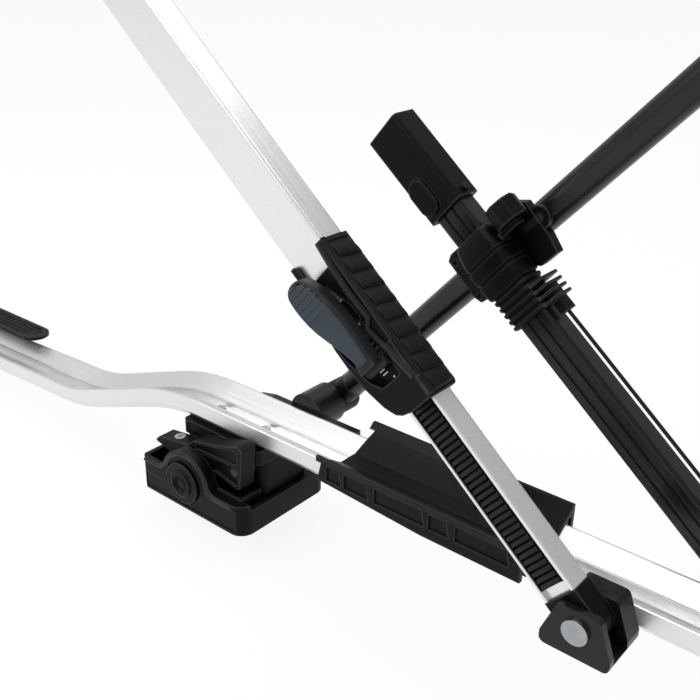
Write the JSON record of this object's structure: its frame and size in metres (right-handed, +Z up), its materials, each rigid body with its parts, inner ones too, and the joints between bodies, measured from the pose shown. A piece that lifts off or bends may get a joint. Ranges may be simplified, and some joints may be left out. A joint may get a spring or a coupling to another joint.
{
  "type": "roof mounted bike carrier",
  "caption": "Carrier on two roof bar clamps: bent tray rail, wheel cradle, ratcheting hook arm, folding far prop and wheel hoop, sliding rear wheel shoe with strap.",
  "frame": {"origin": "centre of the front roof bar seat, on the underside of its rubber pad", "axes": "+X to the front of the car along the tray, +Y from the hook arm's side to the prop's side, +Z up"},
  "size_m": [1.6839, 0.188, 0.7024],
  "materials": {
    "tray_aluminium": "satin anodised",
    "arm_aluminium": "satin anodised",
    "black_aluminium": "satin black anodised",
    "black_plastic": "fine grain",
    "liner_plastic": "fine grain",
    "strip_plastic": "smooth",
    "lever_plastic": "satin blue grey",
    "black_rubber": "matt",
    "strap_plastic": "satin",
    "bare_steel": "zinc plated",
    "black_steel": "satin black coat",
    "lock_metal": "satin"
  },
  "bodies": {
    "base": {"tray_rail": "tray_aluminium", "tray_front_cap": "black_plastic", "tray_rear_cap": "black_plastic", "wheel_cradle": "liner_plastic", "front_foot": "black_plastic", "front_bar_pad": "black_rubber", "guide_rod": "bare_steel", "adjuster_axle": "bare_steel", "lever_pin": "bare_steel", "tray_saddle": "black_plastic", "tray_bolts": "bare_steel", "rear_clamp_body": "black_plastic", "rear_bar_pad": "black_rubber", "near_bracket": "black_steel", "near_pin": "bare_steel", "prop_bracket": "black_steel", "prop_pin": "bare_steel", "hoop_bracket": "black_steel", "hoop_pin": "bare_steel"},
    "adjuster_cap_body": {"adjuster_cap": "black_plastic"},
    "clamp_lever_body": {"clamp_lever": "black_plastic"},
    "lock_body": {"lock_cylinder": "lock_metal"},
    "front_claw_body": {"front_claw": "black_steel"},
    "back_claw_body": {"back_claw": "black_steel"},
    "rear_claw_body": {"rear_claw": "black_steel"},
    "rear_knob_body": {"rear_clamp_knob": "black_plastic"},
    "near_arm": {"near_arm_bar": "arm_aluminium", "near_arm_eye": "black_plastic", "toothed_strip": "strip_plastic"},
    "upper_arm": {"upper_tube": "arm_aluminium", "tube_guide": "black_plastic", "carriage_housing": "black_plastic", "handle_shell": "black_plastic", "rubber_grip": "black_rubber", "carriage_pins": "bare_steel", "hook_socket": "black_plastic", "wheel_hook": "black_steel", "hook_pad": "black_rubber", "hook_cap": "black_plastic"},
    "ratchet_lever_body": {"ratchet_lever": "lever_plastic"},
    "pawl_body": {"drive_pawl": "bare_steel"},
    "hoop_arm": {"hoop_eye": "black_plastic", "hoop_tube": "black_aluminium", "crossing_plate": "black_plastic", "hoop_sleeve": "black_plastic", "wheel_hoop": "black_aluminium", "hoop_pad": "black_rubber", "hoop_cap": "black_plastic"},
    "prop": {"prop_foot": "black_plastic", "prop_bar": "black_aluminium", "prop_sleeve": "black_plastic"},
    "collar": {"prop_collar": "black_plastic", "collar_rod": "black_steel"},
    "collar_knob_body": {"collar_knob": "black_plastic"},
    "button_body": {"sleeve_button": "black_plastic"},
    "shoe": {"wheel_shoe": "black_plastic", "wheel_strap": "strap_plastic", "buckle_base": "black_plastic"},
    "buckle_lever_body": {"buckle_lever": "black_plastic"}
  },
  "joints": [
    {"name": "near_arm_hinge", "type": "hinge", "parent": "base", "child": "near_arm", "pos_m": [0.408, -0.057, 0.095], "axis": [0, 1, 0], "range_deg": [-24, 50]},
    {"name": "upper_arm_slide", "type": "slide", "parent": "near_arm", "child": "upper_arm", "axis": [-0.7604, 0, 0.6494], "range_m": [-0.126, 0.084]},
    {"name": "ratchet_lever_hinge", "type": "hinge", "parent": "upper_arm", "child": "ratchet_lever_body", "pos_m": [0.23539, -0.079, 0.24243], "axis": [0.6494, 0, 0.7604], "range_deg": [0, 35]},
    {"name": "pawl_hinge", "type": "hinge", "parent": "upper_arm", "child": "pawl_body", "pos_m": [0.21258, -0.0726, 0.26191], "axis": [0.6494, 0, 0.7604], "range_deg": [-12, 0]},
    {"name": "hoop_arm_hinge", "type": "hinge", "parent": "base", "child": "hoop_arm", "pos_m": [0.064, 0.079, 0.095], "axis": [0, 1, 0], "range_deg": [0, 35.9]},
    {"name": "prop_hinge", "type": "hinge", "parent": "base", "child": "prop", "pos_m": [0.488, 0.048, 0.095], "axis": [0, 1, 0], "range_deg": [-20.17, 0]},
    {"name": "collar_slide", "type": "slide", "parent": "prop", "child": "collar", "axis": [-0.7716, 0, 0.6361], "range_m": [-0.14565, 0]},
    {"name": "collar_knob_turn", "type": "hinge", "parent": "collar", "child": "collar_knob_body", "pos_m": [0.25524, 0.048, 0.33145], "axis": [-0.7716, 0, 0.6361], "continuous": true},
    {"name": "button_push", "type": "slide", "parent": "prop", "child": "button_body", "axis": [0, 1, 0], "range_m": [0, 0.0025], "stiffness_N_per_m": 300, "springref_m": -0.002},
    {"name": "clamp_lever_hinge", "type": "hinge", "parent": "base", "child": "clamp_lever_body", "pos_m": [0.044, -0.041, 0.057], "axis": [0, 1, 0], "range_deg": [0, 90]},
    {"name": "back_claw_slide", "type": "slide", "parent": "base", "child": "back_claw_body", "axis": [-1, 0, 0], "range_m": [0, 0.008]},
    {"name": "lock_turn", "type": "hinge", "parent": "clamp_lever_body", "child": "lock_body", "pos_m": [-0.038, -0.041, 0.06], "axis": [0, 0, 1], "range_deg": [0, 90]},
    {"name": "adjuster_turn", "type": "hinge", "parent": "base", "child": "adjuster_cap_body", "pos_m": [-0.012, -0.063, 0.03], "axis": [0, 1, 0], "range_deg": [0, 2160]},
    {"name": "front_claw_slide", "type": "slide", "parent": "base", "child": "front_claw_body", "axis": [1, 0, 0], "range_m": [0, 0.008]},
    {"name": "rear_knob_turn", "type": "hinge", "parent": "base", "child": "rear_knob_body", "pos_m": [-0.784, 0, -0.008], "axis": [1, 0, 0], "range_deg": [0, 2400]},
    {"name": "rear_claw_slide", "type": "slide", "parent": "base", "child": "rear_claw_body", "axis": [-1, 0, 0], "range_m": [0, 0.01]},
    {"name": "shoe_slide", "type": "slide", "parent": "base", "child": "shoe", "axis": [1, 0, 0], "range_m": [-0.15, 0.07]},
    {"name": "buckle_lever_hinge", "type": "hinge", "parent": "shoe", "child": "buckle_lever_body", "pos_m": [-0.866, -0.049, 0.03], "axis": [1, 0, 0], "range_deg": [0, 80]}
  ],
  "couplings": [
    {"joint": "pawl_hinge", "follows": "ratchet_lever_hinge", "ratio": -0.34286},
    {"joint": "prop_hinge", "follows": "hoop_arm_hinge", "ratio": -0.56156},
    {"joint": "collar_slide", "follows": "hoop_arm_hinge", "m_per_rad": -0.23214},
    {"joint": "back_claw_slide", "follows": "clamp_lever_hinge", "m_per_rad": 0.0050293},
    {"joint": "adjuster_turn", "follows": "front_claw_slide", "rad_per_m": 4712.4},
    {"joint": "rear_knob_turn", "follows": "rear_claw_slide", "rad_per_m": 4188.8}
  ]
}
